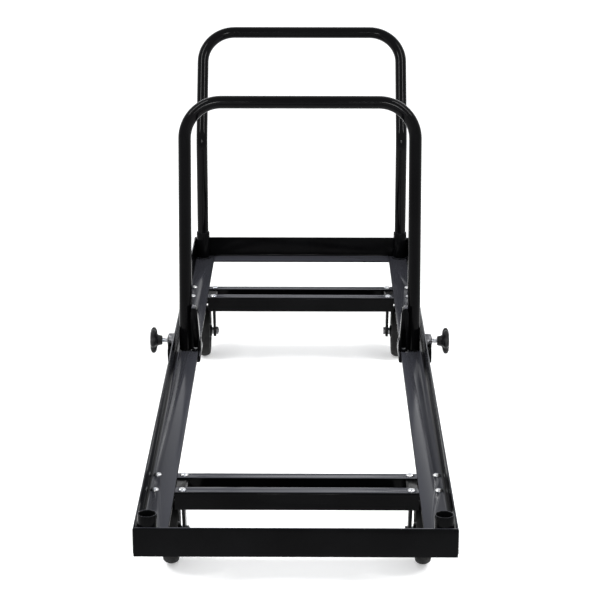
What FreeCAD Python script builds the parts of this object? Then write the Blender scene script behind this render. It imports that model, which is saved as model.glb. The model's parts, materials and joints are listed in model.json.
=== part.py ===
import FreeCAD, Part
import math
import os

# Long four-wheeled cart: an angle-iron frame on swivel casters, with one tube handle standing in
# the far stake sockets and a second tube handle on two cradles that slide along the side rails.
# Millimetres. +Z is up, the floor is Z = 0, +Y points to the far end, X is the cart's width.

Vector = FreeCAD.Vector
UP = Vector(0, 0, 1)
ACROSS = Vector(1, 0, 0)

# ---- driving dimensions ----
frame_length = 1830.0
frame_width = 527.5
steel = 3.0                     # thickness of side and end rails
angle_leg = 50.0
root_radius = 5.0
rail_bottom = 159.0

socket_inset = 19.0             # socket axis from the end face
socket_axis_x = 241.5
socket_outer_r = 16.0
socket_bore_r = 13.55
socket_stand_up = 18.0          # above the rail

tube_r = 13.45
tube_wall = 1.5
corner_radius = 76.0
end_handle_top = 696.0          # height of the grip's axis
end_handle_bend_height = 457.0
end_handle_bend_angle = 30.5
end_handle_bend_radius = 85.0
middle_handle_top = 680.0
middle_handle_lean = 8.5        # degrees, towards the far end
middle_handle_foot = 164.0
middle_handle_from_near = 1078.0

cross_member_from_end = 318.0
cross_member_width = 96.0
cross_member_slot = 44.0
cross_member_bottom = 128.0
cross_member_wall = 3.0
cross_web_half_span = 176.0      # the floor of the channel stops short of the casters

caster_axis_x = 225.5
bolt_spacing_x = 48.0
bolt_spacing_y = 72.0
caster_plate_x = 64.0
caster_plate_y = 88.0
caster_plate_thick = 4.0
wheel_r = 60.0
tyre_width = 28.0
tyre_inner_r = 46.5
hub_half = 17.0
caster_trail = 26.0
fork_inner_half = 21.0
fork_plate = 6.0
axle_r = 5.0
running_gap = 0.06

cradle_length = 100.0
cradle_plate = 4.0
cradle_bottom = 150.0
cradle_outer_x = 277.0
cradle_inner_x = 208.4
cradle_inner_plate = 3.0
cradle_shoulder = 188.0
cradle_tab_top = 186.0
clamp_axis_z = 183.0
clamp_screw_r = 5.0
clamp_boss_r = 15.0
clamp_boss_inner_x = 265.4
clamp_boss_outer_x = 280.0
clamp_pad_pocket_r = 9.6
clamp_pad_pocket_x = 269.8      # how far out the pocket in the boss reaches
knob_hub_x = 291.0
knob_disc_x = 302.0
knob_outer_x = 316.0
knob_r = 28.0

# ---- derived positions ----
rail_top = rail_bottom + angle_leg
ledge_top = rail_bottom + steel
side_outer_x = frame_width / 2
side_inner_x = side_outer_x - steel
ledge_inner_x = side_outer_x - angle_leg
slope = math.radians(end_handle_bend_angle)
handle_setback = (end_handle_top - end_handle_bend_height) * math.tan(slope)
handle_overhang = handle_setback + tube_r - socket_inset
near_y = -(frame_length + handle_overhang) / 2      # the origin is under the middle of the whole cart
far_y = near_y + frame_length
middle_y = near_y + middle_handle_from_near
cross_y = {"near": near_y + cross_member_from_end, "far": far_y - cross_member_from_end}
socket_y = {"near": near_y + socket_inset, "far": far_y - socket_inset}
plate_bottom = rail_bottom - caster_plate_thick
sides = {"left": -1, "right": 1}
corners = [(end, side) for end in ("near", "far") for side in ("left", "right")]


def box(x, y, z):
    """A box between two limits on each axis."""
    low = Vector(min(x), min(y), min(z))
    return Part.makeBox(max(x) - low.x, max(y) - low.y, max(z) - low.z, low)


def rod(radius, start, end):
    """A round bar between two points."""
    start, end = Vector(*start), Vector(*end)
    return Part.makeCylinder(radius, (end - start).Length, start, end - start)


def hexagon(across_flats, start, end):
    """A six-sided bar between two points, with a corner pointing up where it lies level."""
    start, end = Vector(*start), Vector(*end)
    axis = (end - start).normalize()
    spoke = UP if abs(axis.z) < 0.5 else ACROSS
    radius = across_flats / math.sqrt(3)
    points = []
    for step in range(7):
        turn = FreeCAD.Rotation(axis, 60 * step)
        points.append(start + turn.multVec(spoke * radius))
    return Part.Face(Part.makePolygon(points)).extrude(end - start)


def prism(points, thickness):
    """A flat closed outline pushed along a vector."""
    corners_3d = [Vector(*point) for point in points]
    return Part.Face(Part.makePolygon(corners_3d + corners_3d[:1])).extrude(Vector(*thickness))


def turned(profile, centre, axis=UP):
    """A ring shape: (radius, height) points turned about an axis through centre."""
    points = [Vector(radius, 0, height) for radius, height in profile]
    solid = Part.Face(Part.makePolygon(points + points[:1])).revolve(Vector(0, 0, 0), UP, 360)
    if axis != UP:
        solid.rotate(Vector(0, 0, 0), Vector(0, 1, 0), 90)
    solid.translate(Vector(*centre))
    return solid


def mirrored(solid):
    return solid.mirror(Vector(0, 0, 0), ACROSS)


def for_side(side, left_solid):
    """The left-hand shape, or its mirror image."""
    return left_solid if side == "left" else mirrored(left_solid)


def edges_along(solid, axis, where):
    """Straight edges that run along an axis and pass the test on their middle point."""
    found = []
    for edge in solid.Edges:
        if edge.Curve.TypeId != "Part::GeomLine":
            continue
        direction = (edge.Vertexes[-1].Point - edge.Vertexes[0].Point).normalize()
        if abs(direction.dot(axis)) > 0.999 and where(edge.CenterOfMass):
            found.append(edge)
    return found


# ---- frame ----
def socket_envelope(end, side):
    x = sides[side] * socket_axis_x
    y = socket_y[end]
    return rod(socket_outer_r, (x, y, ledge_top), (x, y, rail_top + socket_stand_up))


def bolt_places(end, side):
    """Centres of one caster's four bolts."""
    x = sides[side] * caster_axis_x
    return [(x + i * bolt_spacing_x / 2, cross_y[end] + j * bolt_spacing_y / 2)
            for i in (-1, 1) for j in (-1, 1)]


def side_rail(side):
    """An angle with its upright leg outside and its ledge turned in at the bottom."""
    span = (near_y + steel, far_y - steel)
    upright = box((-side_outer_x, -side_inner_x), span, (rail_bottom, rail_top))
    ledge = box((-side_outer_x, -ledge_inner_x), span, (rail_bottom, ledge_top))
    root = box((-side_inner_x, -side_inner_x + root_radius), span, (ledge_top, ledge_top + root_radius))
    centre_x, centre_z = -side_inner_x + root_radius, ledge_top + root_radius
    root = root.cut(rod(root_radius, (centre_x, span[0] - 1, centre_z), (centre_x, span[1] + 1, centre_z)))
    rail = upright.fuse([ledge, root]).removeSplitter()
    toe = edges_along(rail, Vector(0, 1, 0), lambda p: p.x > -ledge_inner_x - 0.1 and p.z > ledge_top - 0.1)
    crest = edges_along(rail, Vector(0, 1, 0), lambda p: p.z > rail_top - 0.1)
    rail = rail.makeFillet(1.2, toe + crest)
    for end in ("near", "far"):
        rail = rail.cut(socket_envelope(end, "left"))
        for x, y in bolt_places(end, "left"):
            rail = rail.cut(rod(4.3, (x, y, rail_bottom - 1), (x, y, ledge_top + 1)))
            rail = rail.cut(rod(7.8, (x, y, ledge_top), (x, y, ledge_top + root_radius)))
    return for_side(side, rail)


def end_rail(end):
    """An angle across the end: its upright closes the ends of the side rails, its ledge fits between them."""
    half = frame_width / 2
    upright = box((-half, half), (near_y, near_y + steel), (rail_bottom, rail_top))
    upright = upright.makeFillet(2.0, edges_along(upright, UP, lambda p: p.y < near_y + 0.1))
    ledge = box((-ledge_inner_x, ledge_inner_x), (near_y + steel, near_y + angle_leg),
                (rail_bottom, ledge_top))
    centre_y, centre_z = near_y + steel + root_radius, ledge_top + root_radius
    root = box((-ledge_inner_x, ledge_inner_x), (near_y + steel, centre_y), (ledge_top, centre_z))
    root = root.cut(rod(root_radius, (-300, centre_y, centre_z), (300, centre_y, centre_z)))
    rail = upright.fuse([ledge, root]).removeSplitter()
    if end == "far":
        rail = rail.mirror(Vector(0, (near_y + far_y) / 2, 0), Vector(0, 1, 0))
    return rail


def cross_member(end):
    """A lipped channel, open upwards, whose walls and lips run out to the ledges over the casters."""
    y = cross_y[end]
    half = cross_member_width / 2
    mouth = cross_member_slot / 2
    inner_half = half - cross_member_wall
    body = box((-ledge_inner_x, ledge_inner_x), (y - half, y + half), (cross_member_bottom, ledge_top))
    body = body.makeFillet(4.0, edges_along(body, ACROSS, lambda p: True))
    inside = box((-300, 300), (y - inner_half, y + inner_half),
                 (cross_member_bottom + cross_member_wall, rail_bottom))
    inside = inside.makeFillet(1.6, edges_along(inside, ACROSS, lambda p: True))
    member = body.cut(inside).cut(box((-300, 300), (y - mouth, y + mouth), (rail_bottom - 1, ledge_top + 1)))
    for side, sign in sides.items():
        member = member.cut(box((sign * cross_web_half_span, sign * 300), (y - inner_half, y + inner_half),
                                (cross_member_bottom - 1, rail_bottom)))
        for x, hole_y in bolt_places(end, side):
            member = member.cut(rod(4.3, (x, hole_y, rail_bottom - 1), (x, hole_y, ledge_top + 1)))
    return member


def handle_socket(end, side):
    """A stake socket: a short length of tube, open at the top, welded into the corner."""
    x = sides[side] * socket_axis_x
    y = socket_y[end]
    top = rail_top + socket_stand_up
    tube = socket_envelope(end, side)
    tube = tube.cut(rod(socket_bore_r, (x, y, ledge_top - 1), (x, y, top + 1)))
    lip = Part.makeCone(socket_bore_r, socket_bore_r + 1.2, 1.2, Vector(x, y, top - 1.2), UP)
    return tube.cut(lip)


# ---- handles ----
def bent_bar(points, radii, bar_r):
    """A round bar along straight runs joined by tangent arcs of the given radii."""
    route = [Vector(*point) for point in points]
    pieces = []
    start = route[0]
    for before, corner, after, radius in zip(route, route[1:], route[2:], radii):
        arriving = (corner - before).normalize()
        leaving = (after - corner).normalize()
        turn = arriving.getAngle(leaving)
        first = corner - arriving * (radius * math.tan(turn / 2))
        last = corner + leaving * (radius * math.tan(turn / 2))
        axis = arriving.cross(leaving).normalize()
        centre = first + axis.cross(arriving) * radius
        section = Part.Face(Part.Wire(Part.makeCircle(bar_r, first, arriving)))
        pieces.append(rod(bar_r, start, first))
        pieces.append(section.revolve(centre, axis, math.degrees(turn)))
        start = last
    pieces.append(rod(bar_r, start, route[-1]))
    return pieces[0].fuse(pieces[1:]).removeSplitter()


def bent_tube(points, radii):
    return bent_bar(points, radii, tube_r).cut(bent_bar(points, radii, tube_r - tube_wall))


def end_handle():
    """The handle in the far sockets: straight legs that lean out above the bend."""
    y = socket_y["far"]
    top_y = y + handle_setback
    leg = [(-socket_axis_x, y, ledge_top), (-socket_axis_x, y, end_handle_bend_height),
           (-socket_axis_x, top_y, end_handle_top)]
    route = leg + [(-x, y, z) for x, y, z in reversed(leg)]
    radii = [end_handle_bend_radius, corner_radius, corner_radius, end_handle_bend_radius]
    return bent_tube(route, radii)


def middle_handle():
    """The sliding handle: one hoop that leans back and stops just above the ledges."""
    lean = math.tan(math.radians(middle_handle_lean))
    low_z = middle_handle_foot - 20
    low_y = middle_y - 20 * lean
    top_y = middle_y + (middle_handle_top - middle_handle_foot) * lean
    leg = [(-socket_axis_x, low_y, low_z), (-socket_axis_x, top_y, middle_handle_top)]
    route = leg + [(-x, y, z) for x, y, z in reversed(leg)]
    hoop = bent_tube(route, [corner_radius, corner_radius])
    return hoop.cut(box((-300, 300), (middle_y - 100, middle_y + 100), (0, middle_handle_foot)))


def leg_bracket(side):
    """A folded, closed bracket that ties the leg to the cradle, with an oblong slot in its face."""
    outer, inner = -socket_axis_x + tube_r + 0.1, -cradle_inner_x - cradle_inner_plate
    low, high, waist, taper = middle_handle_foot, 258.0, 196.0, 5.0
    depth, sheet, front = 26.0, 3.0, middle_y - 15
    block = prism([(outer, front, low), (inner, front, low), (inner, front, waist),
                   (inner - taper, front, high), (outer, front, high)], (0, depth, 0))
    block = block.makeFillet(8.0, edges_along(block, Vector(0, 1, 0),
                                              lambda p: p.x > inner - taper - 1 and p.z > high - 1))
    hollow = prism([(outer + sheet, front + sheet, low - 1), (inner - sheet, front + sheet, low - 1),
                    (inner - sheet, front + sheet, waist), (inner - sheet - taper, front + sheet, high - sheet),
                    (outer + sheet, front + sheet, high - sheet)], (0, depth - 2 * sheet, 0))
    bracket = block.cut(hollow)
    slot_r, slot_x, slot_low, slot_high = 4.5, (outer + inner) / 2, 172.0, 209.0
    slot = box((slot_x - slot_r, slot_x + slot_r), (front - 1, front + sheet + 1), (slot_low, slot_high))
    for z in (slot_low, slot_high):
        slot = slot.fuse(rod(slot_r, (slot_x, front - 1, z), (slot_x, front + sheet + 1, z)))
    return for_side(side, bracket.cut(slot))


def rail_cradle(side):
    """A plate folded round the rail: outer ear, floor, and inner upright with a tab for the bracket."""
    start, end = middle_y - cradle_length / 2, middle_y + cradle_length / 2
    outer, inner = -cradle_outer_x, -cradle_inner_x
    ear = prism([(outer, start, cradle_bottom), (outer, end, cradle_bottom), (outer, end, cradle_shoulder - 14),
                 (outer, end - 18, cradle_shoulder), (outer, start + 18, cradle_shoulder),
                 (outer, start, cradle_shoulder - 14)], (cradle_plate, 0, 0))
    floor = box((outer, inner), (start, end), (cradle_bottom, cradle_bottom + cradle_plate))
    upright = box((inner - cradle_inner_plate, inner), (start, end), (cradle_bottom, middle_handle_foot))
    tab = box((inner - cradle_inner_plate, inner), (middle_y - 15, middle_y + 11), (cradle_bottom, cradle_tab_top))
    cradle = ear.fuse([floor, upright, tab]).removeSplitter()
    bends = edges_along(cradle, Vector(0, 1, 0), lambda p: p.z < cradle_bottom + 0.1)
    cradle = cradle.makeFillet(3.5, bends)
    seat = rod(clamp_boss_r, (outer - 1, middle_y, clamp_axis_z), (outer + cradle_plate + 1, middle_y, clamp_axis_z))
    return for_side(side, cradle.cut(seat))


def cradle_glide(side):
    """A nylon strip on the cradle floor that bears against the underside of the rail."""
    strip = box((-side_outer_x + 2, -ledge_inner_x - 2),
                (middle_y - cradle_length / 2 + 4, middle_y + cradle_length / 2 - 4),
                (cradle_bottom + cradle_plate, rail_bottom - 0.4))
    return for_side(side, strip)


def clamp_boss(side):
    """The threaded boss, tapered outside, with a pocket for the pad; it is welded into the ear."""
    length = clamp_boss_outer_x - clamp_boss_inner_x
    pocket = clamp_boss_outer_x - clamp_pad_pocket_x
    bore = clamp_screw_r + running_gap
    boss = turned([(bore, 0), (8.5, 0), (clamp_boss_r - 1.0, 2.6), (clamp_boss_r, 3.4), (clamp_boss_r, length - 1),
                   (clamp_boss_r - 1, length), (clamp_pad_pocket_r, length), (clamp_pad_pocket_r, pocket),
                   (bore, pocket)], (-clamp_boss_outer_x, middle_y, clamp_axis_z), ACROSS)
    return for_side(side, boss)


def clamp_pad(side):
    """The swivel pad on the screw's tip, which stays still while the screw turns."""
    tip = -side_outer_x - 0.05
    disc = rod(9.0, (tip, middle_y, clamp_axis_z), (tip - 2.4, middle_y, clamp_axis_z))
    socket = rod(3.05, (tip - 1.2, middle_y, clamp_axis_z), (tip - 3, middle_y, clamp_axis_z))
    return for_side(side, disc.cut(socket))


def clamp_screw(side):
    """The threaded stem from the swivel pad out to the knob."""
    tip = -side_outer_x - 1.4
    shank = rod(clamp_screw_r, (tip - 1.3, middle_y, clamp_axis_z), (-knob_disc_x, middle_y, clamp_axis_z))
    ball = rod(3.0, (tip, middle_y, clamp_axis_z), (tip - 1.3, middle_y, clamp_axis_z))
    return for_side(side, shank.fuse(ball).removeSplitter())


def clamp_knob(side):
    """A moulded knob with six lobes round a thick disc and a hub towards the screw."""
    lobes, valley_r = 6, 8.0
    axis_point = (-knob_outer_x, middle_y, clamp_axis_z)
    profile = [(0, 0), (15, 0), (24, 1.6), (27, 4.5), (knob_r, 7), (27, 10.5), (24, 13), (14, 14),
               (11.5, 16), (9.8, 25), (0, 25)]
    body = turned(profile, axis_point, ACROSS)
    for index in range(lobes):
        angle = 2 * math.pi * (index + 0.5) / lobes
        y = middle_y + (knob_r + valley_r - 4.5) * math.cos(angle)
        z = clamp_axis_z + (knob_r + valley_r - 4.5) * math.sin(angle)
        body = body.cut(rod(valley_r, (-knob_outer_x - 1, y, z), (-knob_disc_x + 1, y, z)))
    bore = rod(clamp_screw_r, (-knob_disc_x, middle_y, clamp_axis_z), (-knob_hub_x + 1, middle_y, clamp_axis_z))
    return for_side(side, body.cut(bore))


# ---- casters ----
def caster_centre(end, side):
    return sides[side] * caster_axis_x, cross_y[end]


def caster_plate(end, side):
    """The top plate with its four holes and the pressed upper ball race."""
    x, y = caster_centre(end, side)
    plate = box((x - caster_plate_x / 2, x + caster_plate_x / 2), (y - caster_plate_y / 2, y + caster_plate_y / 2),
                (plate_bottom, rail_bottom))
    plate = plate.makeFillet(9.0, edges_along(plate, UP, lambda p: True))
    race = turned([(0, 0), (30, 0), (29, -5.2), (26.5, -6), (6.2, -6), (0, -6)], (x, y, plate_bottom))
    plate = plate.fuse(race).removeSplitter()
    plate = plate.cut(rod(6.0, (x, y, plate_bottom - 10), (x, y, rail_bottom + 1)))
    for hole_x, hole_y in bolt_places(end, side):
        plate = plate.cut(rod(4.3, (hole_x, hole_y, 140), (hole_x, hole_y, 160)))
    return plate


def kingpin(end, side):
    """The swivel rivet: a shank through plate and crown with a broad head under the crown."""
    x, y = caster_centre(end, side)
    head_top = plate_bottom - 13.6
    profile = [(0, rail_bottom), (6.0, rail_bottom), (6.0, head_top), (11, head_top), (11, head_top - 2),
               (8, head_top - 4.5), (0, head_top - 4.5)]
    return turned(profile, (x, y, 0))


def swivel_bearing(end, side):
    """The retained ball ring between the two races."""
    x, y = caster_centre(end, side)
    profile = [(19, -8.9), (20.5, -9.3), (25.5, -9.3), (27, -8.9), (27, -7), (25.5, -6.4), (20.5, -6.4), (19, -7)]
    return turned(profile, (x, y, plate_bottom))


def fork_leg(x, y, top, thickness):
    """One leg of the yoke: straight sides that run down from the crown, tangent to a round eye."""
    leg_half, eye_r, shoulder_drop = 20.0, 14.0, 12.0
    eye = Vector(x, y + caster_trail, wheel_r)
    outline = [Vector(x, y - leg_half, top), Vector(x, y + leg_half, top)]
    tangents = []
    for sign in (1, -1):
        shoulder = Vector(x, y + sign * leg_half, top - shoulder_drop)
        reach = shoulder - eye
        swing = sign * math.degrees(math.acos(eye_r / reach.Length))
        towards = FreeCAD.Rotation(ACROSS, -swing).multVec(reach.normalize())
        tangents.append(eye + towards * eye_r)
        outline.insert(2 if sign > 0 else 3, shoulder)
    top_rear, top_front, front_shoulder, rear_shoulder = outline
    lowest = eye - UP * eye_r
    edges = [Part.makeLine(top_rear, top_front), Part.makeLine(top_front, front_shoulder),
             Part.makeLine(front_shoulder, tangents[0]),
             Part.Arc(tangents[0], lowest, tangents[1]).toShape(),
             Part.makeLine(tangents[1], rear_shoulder), Part.makeLine(rear_shoulder, top_rear)]
    return Part.Face(Part.Wire(edges)).extrude(Vector(thickness, 0, 0))


def fork(end, side):
    """The swivel yoke: a pressed crown and two tapered legs down to the axle."""
    x, y = caster_centre(end, side)
    crown_top = plate_bottom - 9.3
    yoke = turned([(6.06, 0), (28, 0), (30, -1.2), (30, -4), (6.06, -4)], (x, y, crown_top))
    outer = fork_inner_half + fork_plate
    for sign in (-1, 1):
        leg = fork_leg(x + sign * fork_inner_half, y, crown_top - 0.5, sign * fork_plate)
        shoulder = box((x + sign * 12, x + sign * (fork_inner_half + 1)), (y - 18, y + 18),
                       (crown_top - 4, crown_top - 0.5))
        brow = edges_along(leg, Vector(0, 1, 0), lambda p: p.z > crown_top - 0.6 and abs(p.x - x) > outer - 0.1)
        yoke = yoke.fuse([leg.makeFillet(2.4, brow), shoulder])
    yoke = yoke.removeSplitter().cut(rod(6.06, (x, y, crown_top - 6), (x, y, crown_top + 1)))
    axle_y = y + caster_trail
    return yoke.cut(rod(axle_r, (x - 40, axle_y, wheel_r), (x + 40, axle_y, wheel_r)))


def wheel_axle(end, side):
    """The axle bolt with its hexagon head, and its thin nut as a second solid."""
    x, y = caster_centre(end, side)
    y += caster_trail
    outer = fork_inner_half + fork_plate
    bolt = rod(axle_r, (x - outer, y, wheel_r), (x + outer + 6.5, y, wheel_r))
    head = hexagon(16.0, (x - outer, y, wheel_r), (x - outer - 5.0, y, wheel_r))
    nut = hexagon(16.0, (x + outer, y, wheel_r), (x + outer + 5.0, y, wheel_r))
    nut = nut.cut(rod(axle_r, (x + outer - 1, y, wheel_r), (x + outer + 9, y, wheel_r)))
    return Part.makeCompound([bolt.fuse(head).removeSplitter(), nut])


def axle_sleeves(end, side):
    """The two spacer sleeves on the axle, between the hub and the yoke's legs."""
    x, y = caster_centre(end, side)
    sleeves = []
    for low in (-fork_inner_half, hub_half + 0.3):
        high = low + fork_inner_half - hub_half - 0.3
        sleeves.append(turned([(axle_r, low), (8.0, low), (8.0, high), (axle_r, high)],
                              (x, y + caster_trail, wheel_r), ACROSS))
    return Part.makeCompound(sleeves)


def wheel_core(end, side):
    """The moulded wheel centre: hub, thin web and a rim for the tyre."""
    x, y = caster_centre(end, side)
    rim_half, web_half = 12.0, 4.0
    bore = axle_r + running_gap
    half_profile = [(bore, hub_half), (12.5, hub_half), (15, hub_half - 2), (16.5, web_half + 3),
                    (18.5, web_half), (38.5, web_half), (41, web_half + 2), (42, rim_half),
                    (tyre_inner_r, rim_half)]
    profile = half_profile + [(radius, -height) for radius, height in reversed(half_profile)]
    core = turned(profile, (x, y + caster_trail, wheel_r), ACROSS)
    for index in range(5):
        angle = 2 * math.pi * index / 5
        hole_y = y + caster_trail + 28.5 * math.cos(angle)
        hole_z = wheel_r + 28.5 * math.sin(angle)
        core = core.cut(rod(6.0, (x - 20, hole_y, hole_z), (x + 20, hole_y, hole_z)))
    return core


def tyre(end, side):
    """The solid tread ring with a rounded running face."""
    x, y = caster_centre(end, side)
    half = tyre_width / 2
    half_profile = [(tyre_inner_r, 12.0), (tyre_inner_r + 1.5, half - 0.7), (tyre_inner_r + 4, half),
                    (wheel_r - 6.5, half - 0.6), (wheel_r - 4.0, half - 2.4), (wheel_r - 2.0, half - 5.2),
                    (wheel_r - 0.7, half - 8.6), (wheel_r, half - 12.5)]
    profile = half_profile + [(radius, -height) for radius, height in reversed(half_profile)]
    return turned(profile, (x, y + caster_trail, wheel_r), ACROSS)


def caster_bolts():
    """Domed carriage bolts, four to a caster."""
    bolts = []
    for end, side in corners:
        for x, y in bolt_places(end, side):
            dome = turned([(0, 0), (7.5, 0), (7.2, 1.3), (5.9, 2.6), (3.8, 3.6), (0, 4.0)], (x, y, ledge_top))
            shank = rod(4.0, (x, y, plate_bottom - 8), (x, y, ledge_top))
            bolts.append(dome.fuse(shank).removeSplitter())
    return Part.makeCompound(bolts)


def caster_nuts():
    """Flange nuts under the caster plates."""
    nuts = []
    for end, side in corners:
        for x, y in bolt_places(end, side):
            flange = rod(7.8, (x, y, plate_bottom - 1.4), (x, y, plate_bottom))
            nut = hexagon(12.6, (x, y, plate_bottom - 6.6), (x, y, plate_bottom - 1.4))
            nuts.append(nut.fuse(flange).cut(rod(4.0, (x, y, 130), (x, y, 160))).removeSplitter())
    return Part.makeCompound(nuts)


# ---- export ----
def all_nodes():
    nodes = {"end_handle": end_handle(), "middle_handle": middle_handle(),
             "caster_bolts": caster_bolts(), "caster_nuts": caster_nuts()}
    for end in ("near", "far"):
        nodes[end + "_end_rail"] = end_rail(end)
        nodes[end + "_cross_member"] = cross_member(end)
    per_side = {"side_rail": side_rail, "rail_cradle": rail_cradle, "cradle_glide": cradle_glide,
                "leg_bracket": leg_bracket, "clamp_boss": clamp_boss, "clamp_pad": clamp_pad,
                "clamp_screw": clamp_screw, "clamp_knob": clamp_knob}
    for side in sides:
        for name, make in per_side.items():
            nodes[name + "_" + side] = make(side)
    per_corner = {"handle_socket": handle_socket, "caster_plate": caster_plate, "kingpin": kingpin,
                  "swivel_bearing": swivel_bearing, "caster_fork": fork, "wheel_axle": wheel_axle,
                  "axle_sleeves": axle_sleeves, "wheel_core": wheel_core, "tyre": tyre}
    for end, side in corners:
        for name, make in per_corner.items():
            nodes[name + "_" + end + "_" + side] = make(end, side)
    return nodes


os.makedirs("parts", exist_ok=True)
for name, shape in sorted(all_nodes().items()):
    shape.exportStep("parts/" + name + ".step")
    extent = shape.BoundBox
    print(name, shape.isValid(), len(shape.Solids), round(shape.Volume),
          [round(v, 1) for v in (extent.XMin, extent.YMin, extent.ZMin, extent.XMax, extent.YMax, extent.ZMax)])
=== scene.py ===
"""Looks of the long chair cart: glossy black powder coat, zinc fasteners, rubber casters."""
import json
import math

import bmesh
import bpy
from mathutils import Matrix, Vector


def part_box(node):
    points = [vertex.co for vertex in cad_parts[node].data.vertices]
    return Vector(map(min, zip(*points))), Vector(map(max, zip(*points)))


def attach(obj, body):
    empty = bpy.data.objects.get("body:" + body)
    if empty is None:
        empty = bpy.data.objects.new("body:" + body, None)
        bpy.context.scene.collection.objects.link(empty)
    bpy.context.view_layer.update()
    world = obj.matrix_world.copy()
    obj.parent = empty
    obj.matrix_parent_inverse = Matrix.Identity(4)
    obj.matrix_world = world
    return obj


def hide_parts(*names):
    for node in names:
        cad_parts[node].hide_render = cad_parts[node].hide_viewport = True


ENDS = ("near", "far")
SIDES = ("left", "right")
SIGN = {"left": -1, "right": 1}
CORNERS = [(end, side) for end in ENDS for side in SIDES]
X_AXIS = Vector((1, 0, 0))

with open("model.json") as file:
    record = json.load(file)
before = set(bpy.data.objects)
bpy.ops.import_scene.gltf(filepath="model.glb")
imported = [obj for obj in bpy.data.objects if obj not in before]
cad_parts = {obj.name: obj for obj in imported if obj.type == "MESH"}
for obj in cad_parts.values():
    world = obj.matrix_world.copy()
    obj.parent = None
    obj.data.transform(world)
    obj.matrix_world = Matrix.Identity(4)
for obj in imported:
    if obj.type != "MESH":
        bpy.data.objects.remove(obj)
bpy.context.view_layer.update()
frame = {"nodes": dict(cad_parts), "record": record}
nodes_of_body = frame["record"]["behaviour"]["bodies"]
body_of_node = {node: body for body, nodes in nodes_of_body.items() for node in nodes}
slot_of_node = {part["node"]: part["material_slot"] for part in frame["record"]["subparts"]}


# ---------------------------------------------------------------- measures read from the frame
def middle(node):
    low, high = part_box(node)
    return (Vector(low) + Vector(high)) / 2


def low_of(node):
    return Vector(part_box(node)[0])


def high_of(node):
    return Vector(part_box(node)[1])


near_face_y = low_of("near_end_rail").y
ledge_z = low_of("handle_socket_near_left").z
rail_top_z = high_of("side_rail_left").z


# ---------------------------------------------------------------- materials
def new_material(name, color, roughness, metallic=0.0, ior=1.5):
    material = bpy.data.materials.new(name)
    material.use_nodes = True
    shader = material.node_tree.nodes["Principled BSDF"]
    shader.inputs["Base Color"].default_value = (*color, 1)
    shader.inputs["Roughness"].default_value = roughness
    shader.inputs["Metallic"].default_value = metallic
    shader.inputs["IOR"].default_value = ior
    return material, shader


def noise_node(material, scale, detail=3.0, roughness=0.55, stretch=(1, 1, 1)):
    """Noise in the cart's own coordinates; scale is in features per metre."""
    tree = material.node_tree
    place = tree.nodes.new("ShaderNodeTexCoord")
    mapping = tree.nodes.new("ShaderNodeMapping")
    mapping.inputs["Scale"].default_value = stretch
    noise = tree.nodes.new("ShaderNodeTexNoise")
    noise.inputs["Scale"].default_value = scale
    noise.inputs["Detail"].default_value = detail
    noise.inputs["Roughness"].default_value = roughness
    tree.links.new(place.outputs["Object"], mapping.inputs["Vector"])
    tree.links.new(mapping.outputs["Vector"], noise.inputs["Vector"])
    return noise.outputs["Fac"]


def spread(material, factor, low, high, start=0.35, stop=0.65):
    """Maps a noise factor to a range of values."""
    node = material.node_tree.nodes.new("ShaderNodeMapRange")
    node.inputs["From Min"].default_value = start
    node.inputs["From Max"].default_value = stop
    node.inputs["To Min"].default_value = low
    node.inputs["To Max"].default_value = high
    material.node_tree.links.new(factor, node.inputs["Value"])
    return node.outputs["Result"]


def tinted(material, shader, factor, dark, light, start=0.35, stop=0.65):
    """Base colour that drifts between two tones."""
    tree = material.node_tree
    ramp = tree.nodes.new("ShaderNodeValToRGB")
    ramp.color_ramp.elements[0].position = start
    ramp.color_ramp.elements[0].color = (*dark, 1)
    ramp.color_ramp.elements[1].position = stop
    ramp.color_ramp.elements[1].color = (*light, 1)
    tree.links.new(factor, ramp.inputs["Fac"])
    tree.links.new(ramp.outputs["Color"], shader.inputs["Base Color"])


def bumped(material, shader, layers):
    """Stacks bump layers of (height output, strength, distance in metres)."""
    tree = material.node_tree
    normal = None
    for height, strength, distance in layers:
        bump = tree.nodes.new("ShaderNodeBump")
        bump.inputs["Strength"].default_value = strength
        bump.inputs["Distance"].default_value = distance
        tree.links.new(height, bump.inputs["Height"])
        if normal:
            tree.links.new(normal, bump.inputs["Normal"])
        normal = bump.outputs["Normal"]
    tree.links.new(normal, shader.inputs["Normal"])


def dusted_and_sheened(material, shader, dust_and_sheen):
    """Faces that look straight up turn lighter: partly a thin even haze of dust, partly painted sheen
    standing in for the sky's grazing reflection on the ledges.
    """
    tree = material.node_tree
    geometry = tree.nodes.new("ShaderNodeNewGeometry")
    split = tree.nodes.new("ShaderNodeSeparateXYZ")
    tree.links.new(geometry.outputs["Normal"], split.inputs["Vector"])
    amount = spread(material, split.outputs["Z"], 0.0, 1.0, 0.80, 0.98)
    blend = tree.nodes.new("ShaderNodeMix")
    blend.data_type = "RGBA"
    tree.links.new(amount, blend.inputs["Factor"])
    tree.links.new(shader.inputs["Base Color"].links[0].from_socket, blend.inputs["A"])
    blend.inputs["B"].default_value = (*dust_and_sheen, 1)
    tree.links.new(blend.outputs["Result"], shader.inputs["Base Color"])


def powder_coat(name, dark, light, gloss, ior, peel, dust_and_sheen=None):
    """Black powder coat: orange peel, slow changes of gloss and a faint drift of tone."""
    material, shader = new_material(name, dark, gloss[0], ior=ior)
    tinted(material, shader, noise_node(material, 9, 4), dark, light)
    smudges = noise_node(material, 22, 5, 0.6, (1, 0.35, 1))
    material.node_tree.links.new(spread(material, smudges, *gloss), shader.inputs["Roughness"])
    bumped(material, shader, [(noise_node(material, 45, 2), 0.05, 0.0004),
                              (noise_node(material, 700, 2), peel, 0.00005)])
    # upward faces get a lighter colour: dust plus painted sheen of the sky's reflection
    if dust_and_sheen:
        dusted_and_sheened(material, shader, dust_and_sheen)
    return material


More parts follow.
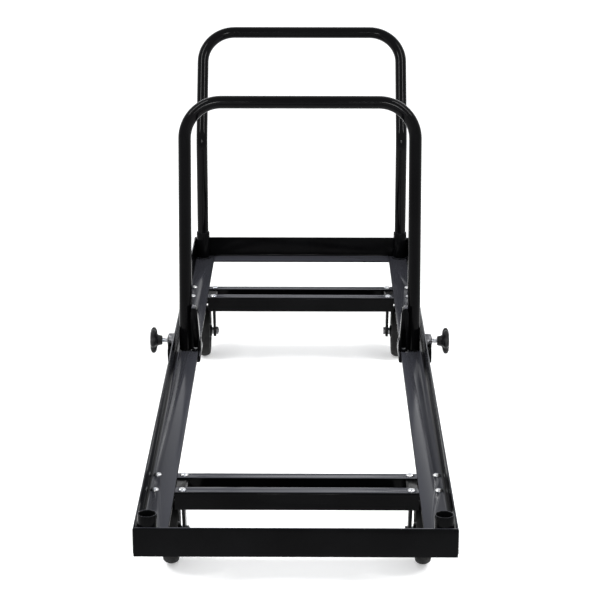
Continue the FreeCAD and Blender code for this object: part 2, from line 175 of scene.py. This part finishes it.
def zinc_plate():
    material, shader = new_material("zinc_plate", (0.50, 0.51, 0.54), 0.30, metallic=1.0)
    tinted(material, shader, noise_node(material, 160, 3), (0.36, 0.38, 0.42), (0.60, 0.59, 0.58))
    grain = noise_node(material, 420, 4)
    material.node_tree.links.new(spread(material, grain, 0.18, 0.42), shader.inputs["Roughness"])
    bumped(material, shader, [(grain, 0.25, 0.00008)])
    return material


def bearing_steel():
    material, shader = new_material("bearing_steel", (0.16, 0.16, 0.17), 0.34, metallic=1.0)
    tinted(material, shader, noise_node(material, 120, 4), (0.10, 0.10, 0.105), (0.21, 0.21, 0.22))
    streaks = noise_node(material, 300, 2, 0.5, (1, 1, 8))
    material.node_tree.links.new(spread(material, streaks, 0.25, 0.48), shader.inputs["Roughness"])
    return material


def rubber():
    material, shader = new_material("tread_rubber", (0.005, 0.005, 0.005), 0.55, ior=1.22)
    tinted(material, shader, noise_node(material, 60, 5),
           (0.0035, 0.0035, 0.0036), (0.0090, 0.0088, 0.0086))
    scuffs = noise_node(material, 240, 5, 0.7)
    material.node_tree.links.new(spread(material, scuffs, 0.52, 0.78), shader.inputs["Roughness"])
    bumped(material, shader, [(scuffs, 0.3, 0.00015),
                              (noise_node(material, 1600, 2), 0.2, 0.00005)])
    return material


def moulded_plastic(name, dark, light, rough_low, rough_high, texture):
    material, shader = new_material(name, dark, rough_low, ior=1.25)
    tinted(material, shader, noise_node(material, 45, 4), dark, light)
    grain = noise_node(material, 700, 3)
    material.node_tree.links.new(spread(material, grain, rough_low, rough_high), shader.inputs["Roughness"])
    bumped(material, shader, [(grain, texture, 0.00006)])
    return material


paints = {
    # the rail coat's lighter upward faces are partly dust, partly painted sheen standing in for the ledges'
    # reflection
    "black_paint": powder_coat("rail_powder_coat", (0.0012, 0.0012, 0.0014), (0.0022, 0.0023, 0.0026),
                               (0.12, 0.20), 1.12, 0.05, dust_and_sheen=(0.034, 0.035, 0.042)),
    "handle_paint": powder_coat("tube_powder_coat", (0.0010, 0.0010, 0.0012), (0.0018, 0.0018, 0.0021),
                                (0.06, 0.12), 1.16, 0.04),
    "caster_steel": powder_coat("caster_black", (0.0022, 0.0022, 0.0024), (0.0045, 0.0045, 0.0048),
                                (0.20, 0.34), 1.18, 0.10),
    "zinc": zinc_plate(),
    "bearing_steel": bearing_steel(),
    "tread": rubber(),
    "wheel_plastic": moulded_plastic("wheel_polypropylene",
                                     (0.0050, 0.0050, 0.0053), (0.0100, 0.0100, 0.0104), 0.34, 0.50, 0.2),
    "knob_plastic": moulded_plastic("knob_phenolic", (0.0040, 0.0040, 0.0044), (0.0080, 0.0080, 0.0085),
                                    0.30, 0.44, 0.25),
    "pad_nylon": moulded_plastic("pad_nylon", (0.020, 0.020, 0.022), (0.034, 0.034, 0.036),
                                 0.40, 0.55, 0.2),
}


# ---------------------------------------------------------------- mesh helpers
def place_piece(name, bm, slot, body, replaces=()):
    """Turns a bmesh into a finished piece that rides on a body."""
    bmesh.ops.recalc_face_normals(bm, faces=bm.faces)
    mesh = bpy.data.meshes.new(name)
    bm.to_mesh(mesh)
    bm.free()
    piece = bpy.data.objects.new(name, mesh)
    bpy.context.scene.collection.objects.link(piece)
    mesh.materials.append(paints[slot])
    for polygon in mesh.polygons:
        polygon.use_smooth = True
    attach(piece, body)
    if replaces:
        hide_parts(*replaces)
    return piece


def turned_frame(axis, centre):
    """Matrix whose local Z runs along the axis."""
    axis = Vector(axis).normalized()
    return Matrix.Translation(centre) @ axis.to_track_quat("Z", "Y").to_matrix().to_4x4()


def lathe(bm, profile, matrix, segments=48, shape=None):
    """Turns (radius, height) points into a closed skin; shape(angle, radius, height) may vary the radius."""
    rings = []
    for radius, height in profile:
        if radius < 1e-7:
            rings.append([bm.verts.new(matrix @ Vector((0, 0, height)))])
            continue
        ring = []
        for step in range(segments):
            angle = 2 * math.pi * step / segments
            reach = shape(angle, radius, height) if shape else radius
            point = Vector((reach * math.cos(angle), reach * math.sin(angle), height))
            ring.append(bm.verts.new(matrix @ point))
        rings.append(ring)
    pairs = list(zip(rings, rings[1:]))
    if len(rings[0]) > 1 and len(rings[-1]) > 1:
        pairs.append((rings[-1], rings[0]))
    for lower, upper in pairs:
        for step in range(segments):
            after = (step + 1) % segments
            corners = [lower[step % len(lower)], lower[after % len(lower)],
                       upper[after % len(upper)], upper[step % len(upper)]]
            face = list(dict.fromkeys(corners))
            if len(face) > 2:
                bm.faces.new(face)


def thread_radius(angle, height, crest_r, root_r, pitch):
    """Radius at one point of a right-hand thread."""
    turn = (height / pitch - angle / (2 * math.pi)) % 1.0
    ridge = min(1.0, max(0.0, 1.45 - abs(2 * turn - 1) * 2.1))
    return root_r + (crest_r - root_r) * ridge


def rounded_profile(points, radius, steps=4):
    """Rounds the inner corners of an open (radius, height) outline."""
    result = [points[0]]
    for before, corner, after in zip(points, points[1:], points[2:]):
        before, corner, after = Vector(before), Vector(corner), Vector(after)
        first_way, last_way = before - corner, after - corner
        cut = min(radius, first_way.length * 0.45, last_way.length * 0.45)
        first = corner + first_way.normalized() * cut
        last = corner + last_way.normalized() * cut
        for step in range(steps + 1):
            t = step / steps
            result.append(tuple(first * (1 - t) ** 2 + corner * 2 * t * (1 - t) + last * t ** 2))
    result.append(points[-1])
    return result


def refined(node, bevel, segments=2, angle=35):
    """A copy of a machined CAD node with softened edges, in place of the node."""
    source = frame["nodes"][node]
    bm = bmesh.new()
    bm.from_mesh(source.data)
    bm.transform(source.matrix_world)
    bmesh.ops.remove_doubles(bm, verts=bm.verts, dist=1e-6)
    bmesh.ops.dissolve_limit(bm, angle_limit=math.radians(0.5), verts=bm.verts, edges=bm.edges)
    piece = place_piece(node + "_finished", bm, slot_of_node[node], body_of_node[node], [node])
    modifier = piece.modifiers.new("softened_edges", "BEVEL")
    modifier.width = bevel
    modifier.segments = segments
    modifier.limit_method = "ANGLE"
    modifier.angle_limit = math.radians(angle)
    modifier.harden_normals = True
    modifier.miter_outer = "MITER_ARC"
    return piece


def weld_bead(bm, points, radius, closed=False, ripple=0.0032):
    """A ripple-marked bead along a line of points, in metres."""
    path = [Vector(point) for point in points]
    if closed:
        path.append(path[0])
    samples_per_ripple, around = 6, 10
    spacing = ripple / samples_per_ripple
    samples = []
    travelled = 0.0
    for start, end in zip(path, path[1:]):
        length = (end - start).length
        count = max(1, round(length / spacing))
        for step in range(count):
            samples.append((start.lerp(end, step / count), travelled + length * step / count))
        travelled += length
    if not closed:
        samples.append((path[-1], travelled))
    rings = []
    for index, (point, distance) in enumerate(samples):
        after = samples[(index + 1) % len(samples)][0] if closed or index + 1 < len(samples) else None
        before = samples[index - 1][0] if closed or index else None
        way = ((after or point) - (before or point)).normalized()
        frame_matrix = turned_frame(way, point)
        phase = (distance / ripple) % 1.0
        swell = radius * (0.86 + 0.18 * math.sqrt(max(0.0, 1 - (2 * phase - 1) ** 2)))
        if not closed:
            end_distance = min(distance, travelled - distance)
            swell *= math.sqrt(min(1.0, max(0.04, end_distance / radius)))
        angles = [2 * math.pi * k / around for k in range(around)]
        rings.append([bm.verts.new(frame_matrix @ Vector((swell * math.cos(a), swell * math.sin(a), 0)))
                      for a in angles])
    pairs = list(zip(rings, rings[1:])) + ([(rings[-1], rings[0])] if closed else [])
    for one, two in pairs:
        for k in range(around):
            bm.faces.new([one[k], one[(k + 1) % around], two[(k + 1) % around], two[k]])
    if not closed:
        bm.faces.new(list(reversed(rings[0])))
        bm.faces.new(rings[-1])


def ring_points(centre, radius, start=0, stop=360, step=12):
    """Points on a level circle, in degrees from +X."""
    angles = [math.radians(a) for a in range(start, stop, step)]
    return [Vector(centre) + Vector((radius * math.cos(a), radius * math.sin(a), 0)) for a in angles]


# ---------------------------------------------------------------- camera, light and floor
def make_camera():
    """Long lens, a little above the cart and a few metres from its near end."""
    right_of_middle, before_near_end, above_rail = 0.0248, 3.1004, 1.3128
    looks_down, turned_left = math.radians(16.51), math.radians(0.475)
    data = bpy.data.cameras.new("camera")
    data.sensor_width = 36
    data.lens = 126.3
    camera = bpy.data.objects.new("camera", data)
    camera.location = (right_of_middle, near_face_y - before_near_end, rail_top_z + above_rail)
    camera.rotation_euler = (math.radians(90) - looks_down, 0, turned_left)
    bpy.context.scene.collection.objects.link(camera)
    bpy.context.scene.camera = camera


def soft_box(name, place, target, size, power):
    data = bpy.data.lights.new(name, "AREA")
    data.shape = "RECTANGLE"
    data.size, data.size_y = size
    data.energy = power
    light = bpy.data.objects.new(name, data)
    light.location = place
    light.rotation_euler = (Vector(target) - Vector(place)).to_track_quat("-Z", "Y").to_euler()
    bpy.context.scene.collection.objects.link(light)


def make_sky():
    """An even white sky that brightens towards the far horizon."""
    world = bpy.data.worlds.new("studio_sky")
    bpy.context.scene.world = world
    world.use_nodes = True
    tree = world.node_tree
    background = tree.nodes["Background"]
    background.inputs["Color"].default_value = (0.98, 0.99, 1.0, 1)
    place = tree.nodes.new("ShaderNodeTexCoord")
    split = tree.nodes.new("ShaderNodeSeparateXYZ")
    ramp = tree.nodes.new("ShaderNodeMapRange")
    ramp.inputs["From Min"].default_value = 0.2
    ramp.inputs["From Max"].default_value = 0.95
    ramp.inputs["To Min"].default_value = 0.90
    ramp.inputs["To Max"].default_value = 1.70
    tree.links.new(place.outputs["Generated"], split.inputs["Vector"])
    tree.links.new(split.outputs["Y"], ramp.inputs["Value"])
    tree.links.new(ramp.outputs["Result"], background.inputs["Strength"])


def make_studio():
    """A white floor under the sky, with two strips beside the cart and two soft boxes behind the camera."""
    bm = bmesh.new()
    bmesh.ops.create_grid(bm, x_segments=2, y_segments=2, size=60)
    mesh = bpy.data.meshes.new("floor")
    bm.to_mesh(mesh)
    bm.free()
    floor = bpy.data.objects.new("floor", mesh)
    floor.location.z = -0.0005
    bpy.context.scene.collection.objects.link(floor)
    material, shader = new_material("floor_paint", (0.85, 0.85, 0.85), 0.7, ior=1.1)
    shader.inputs["Emission Color"].default_value = (1, 1, 1, 1)
    shader.inputs["Emission Strength"].default_value = 0.25
    mesh.materials.append(material)
    for side in SIDES:
        soft_box(side + "_strip", (SIGN[side] * 1.7, -0.5, 2.6), (0, 0.3, 0.4), (0.35, 1.6), 45)
    for side in SIDES:
        soft_box(side + "_back", (SIGN[side] * 0.9, -6.5, 2.4), (0, 0.8, 0.45), (0.7, 1.0), 70)
    bpy.context.scene.view_settings.view_transform = "Standard"


make_camera()
make_sky()
make_studio()

# ---------------------------------------------------------------- clamp knobs and screws
def lobed(angle, radius, height):
    """Pulls the knob's rim in between its lobes; the hub stays round."""
    lobes, round_within, fade_over, valley_depth = 6, 0.013, 0.010, 0.0050
    weight = min(1.0, max(0.0, (radius - round_within) / fade_over))
    wave = 0.5 - 0.5 * math.cos(lobes * angle)
    return radius - weight * valley_depth * wave ** 1.6


def make_knob(side):
    node = "clamp_knob_" + side
    low, high = low_of(node), high_of(node)
    centre = middle(node)
    thick = high.x - low.x
    rim = (high.y - low.y) / 2
    outer_x = low.x if side == "left" else high.x
    axis = X_AXIS * -SIGN[side]
    outline = [(0, 0.0012), (0.0085, 0.0012), (0.0100, 0.0004), (0.0150, 0), (0.0215, 0.0006),
               (rim - 0.0012, 0.0034), (rim, 0.0070), (rim - 0.0012, 0.0106), (0.0215, 0.0134),
               (0.0140, 0.0142), (0.0115, 0.0160), (0.0099, thick - 0.0010), (0.0088, thick), (0.0052, thick)]
    bm = bmesh.new()
    matrix = turned_frame(axis, (outer_x, centre.y, centre.z))
    lathe(bm, rounded_profile(outline, 0.0016), matrix, 144, lobed)
    place_piece("knob_" + side, bm, "knob_plastic", body_of_node[node], [node])


def make_screw(side):
    """The stem with its thread, from the swivel pad to the knob's hub."""
    node = "clamp_screw_" + side
    low, high = low_of(node), high_of(node)
    centre = middle(node)
    length = high.x - low.x
    crest_r = (high.z - low.z) / 2
    root_r, pitch, rings_per_turn = crest_r - 0.00092, 0.0015, 10
    tip_x = high.x if side == "left" else low.x
    matrix = turned_frame(X_AXIS * SIGN[side], (tip_x, centre.y, centre.z))
    start, stop = 0.0013, length
    count = round((stop - start) / pitch * rings_per_turn)

    def shaped(angle, radius, height):
        if height < start or radius < crest_r:
            return radius
        grown = min(1.0, (height - start) / pitch)
        return root_r + (thread_radius(angle, height, crest_r, root_r, pitch) - root_r) * grown

    profile = [(0, 0), (0.0027, 0), (0.0030, 0.0003), (0.0030, start)]
    profile += [(crest_r, start + (stop - start) * step / count) for step in range(count + 1)]
    profile.append((0, stop))
    bm = bmesh.new()
    lathe(bm, profile, matrix, 40, shaped)
    place_piece("screw_" + side, bm, "zinc", body_of_node[node], [node])


# ---------------------------------------------------------------- casters
def make_tyre(end, side):
    """Solid tread: crowned running face, rounded shoulders, a mould line and a groove in each wall."""
    node = "tyre_%s_%s" % (end, side)
    low, high = low_of(node), high_of(node)
    centre = middle(node)
    outer, half = (high.z - low.z) / 2, (high.x - low.x) / 2
    inner = outer - 0.0135
    wall = [(inner, half - 0.0020), (inner + 0.0014, half - 0.0008), (inner + 0.0028, half - 0.0002),
            (inner + 0.0036, half - 0.0008), (inner + 0.0044, half - 0.0001)]
    shoulder = [(outer - 0.0066, half - 0.0006), (outer - 0.0049, half - 0.0018),
                (outer - 0.0033, half - 0.0036), (outer - 0.0020, half - 0.0058),
                (outer - 0.0010, half - 0.0083), (outer - 0.0003, half - 0.0108)]
    mould_line = [(outer - 0.0001, 0.0009), (outer, 0.0004)]
    half_profile = wall + shoulder + mould_line
    profile = half_profile + [(radius, -height) for radius, height in reversed(half_profile)]
    bm = bmesh.new()
    lathe(bm, profile, turned_frame(X_AXIS, centre), 160)
    place_piece("tread_%s_%s" % (end, side), bm, "tread", body_of_node[node], [node])


# ---------------------------------------------------------------- fasteners
def bolt_spots():
    """Centres of the caster bolts, four round the middle of each caster plate."""
    half_x, half_y = 0.024, 0.036
    spots = []
    for end, side in CORNERS:
        centre = middle("caster_plate_%s_%s" % (end, side))
        spots += [(centre.x + i * half_x, centre.y + j * half_y) for i in (-1, 1) for j in (-1, 1)]
    return spots


def make_bolts():
    """Domed carriage bolt heads with a thin skirt, and their threaded ends below the nuts."""
    bm = bmesh.new()
    bottom = low_of("caster_bolts").z
    drop = bottom - ledge_z
    dome = [(0, 0.0040), (0.0022, 0.00388), (0.0040, 0.0035), (0.0056, 0.0027), (0.0068, 0.0017),
            (0.0074, 0.0008), (0.0075, 0.0003), (0.0073, 0.0)]
    crest_r, root_r, pitch = 0.0040, 0.0033, 0.00125
    thread_top, thread_end, rings = drop + 0.0025, drop + 0.0005, 16

    def shaped(angle, radius, height):
        threaded = thread_end <= height <= thread_top
        return thread_radius(angle, height, crest_r, root_r, pitch) if threaded else radius

    shank = [(crest_r, 0.0), (crest_r, thread_top + 0.0001)]
    shank += [(crest_r, thread_top + (thread_end - thread_top) * step / rings) for step in range(rings)]
    shank += [(root_r, drop), (0, drop)]
    for x, y in bolt_spots():
        lathe(bm, dome + shank, Matrix.Translation((x, y, ledge_z)), 32, shaped)
    place_piece("bolt_heads", bm, "zinc", "frame", ["caster_bolts"])


# ---------------------------------------------------------------- welds
def make_frame_welds():
    """Beads round the feet of the sockets, in the corners of the rails and along the ledges' seams."""
    bm = bmesh.new()
    for end, side in CORNERS:
        socket = "handle_socket_%s_%s" % (end, side)
        centre = middle(socket)
        radius = (high_of(socket).x - low_of(socket).x) / 2
        foot = ring_points((centre.x, centre.y, ledge_z + 0.0004), radius + 0.0004)
        weld_bead(bm, foot, 0.0022, closed=True)
        rail = "%s_end_rail" % end
        sign, out = SIGN[side], (-1 if end == "near" else 1)
        face_y = low_of(rail).y if end == "near" else high_of(rail).y
        outer_x = high_of(rail).x
        x, y = sign * (outer_x - 0.0034), face_y - out * 0.0034
        weld_bead(bm, [(x, y, ledge_z + 0.006), (x, y, rail_top_z - 0.001)], 0.0020)
        x, y = sign * (outer_x - 0.0004), face_y - out * 0.0030
        weld_bead(bm, [(x, y, ledge_z + 0.001), (x, y, rail_top_z - 0.002)], 0.0013)
        x, z = sign * abs(high_of("side_rail_left").x), ledge_z - 0.0006
        weld_bead(bm, [(x, face_y - out * 0.008, z), (x, face_y - out * 0.048, z)], 0.0014)
    place_piece("frame_welds", bm, "black_paint", "frame")


def make_handle_welds():
    """Beads down each leg bracket, along the cradle's tab and round the clamp boss."""
    bm = bmesh.new()
    for side in SIDES:
        bracket, boss, cradle = "leg_bracket_" + side, "clamp_boss_" + side, "rail_cradle_" + side
        low, high = low_of(bracket), high_of(bracket)
        outer_x, inner_x = (low.x, high.x) if side == "left" else (high.x, low.x)
        sign = SIGN[side]
        base = low.z + 0.003
        top = high.z - 0.010
        weld_bead(bm, [(outer_x, low.y + 0.004, base), (outer_x, low.y + 0.012, top)], 0.0024)
        tab_top = high_of(cradle).z - 0.0015
        weld_bead(bm, [(inner_x, low.y + 0.001, tab_top), (inner_x, high.y - 0.001, tab_top)], 0.0017)
        centre = middle(boss)
        ring_r = (high_of(boss).z - low_of(boss).z) / 2 + 0.0005
        seat_x = low_of(cradle).x if side == "left" else high_of(cradle).x
        angles = [math.radians(a) for a in range(160, 384, 8)]
        x = seat_x + sign * 0.0003
        ring = [Vector((x, centre.y + ring_r * math.cos(a), centre.z + ring_r * math.sin(a))) for a in angles]
        weld_bead(bm, ring, 0.0016, ripple=0.0028)
    place_piece("handle_welds", bm, "black_paint", "middle_handle")


# ---------------------------------------------------------------- build
for side in SIDES:
    make_knob(side)
    make_screw(side)
for end, side in CORNERS:
    make_tyre(end, side)
make_bolts()
make_frame_welds()
make_handle_welds()

# widths of the softened edges, by the stem of the node's name
SOFTENED = {"side_rail": 0.0006, "end_rail": 0.0006, "cross_member": 0.0005, "handle_socket": 0.0005,
            "rail_cradle": 0.0008, "leg_bracket": 0.0006, "clamp_boss": 0.0005, "caster_nuts": 0.0005,
            "caster_plate": 0.0008, "caster_fork": 0.0008, "kingpin": 0.0005, "wheel_axle": 0.0005,
            "wheel_core": 0.0009, "axle_sleeves": 0.0003, "cradle_glide": 0.0006,
            "swivel_bearing": 0.0003, "clamp_pad": 0.0003}
for name in list(frame["nodes"]):
    for stem, width in SOFTENED.items():
        if stem in name:
            refined(name, width)
            break

# ---------------------------------------------------------------- CAD nodes that keep their shape
for name, node in frame["nodes"].items():
    node.data.materials.clear()
    node.data.materials.append(paints[slot_of_node[name]])
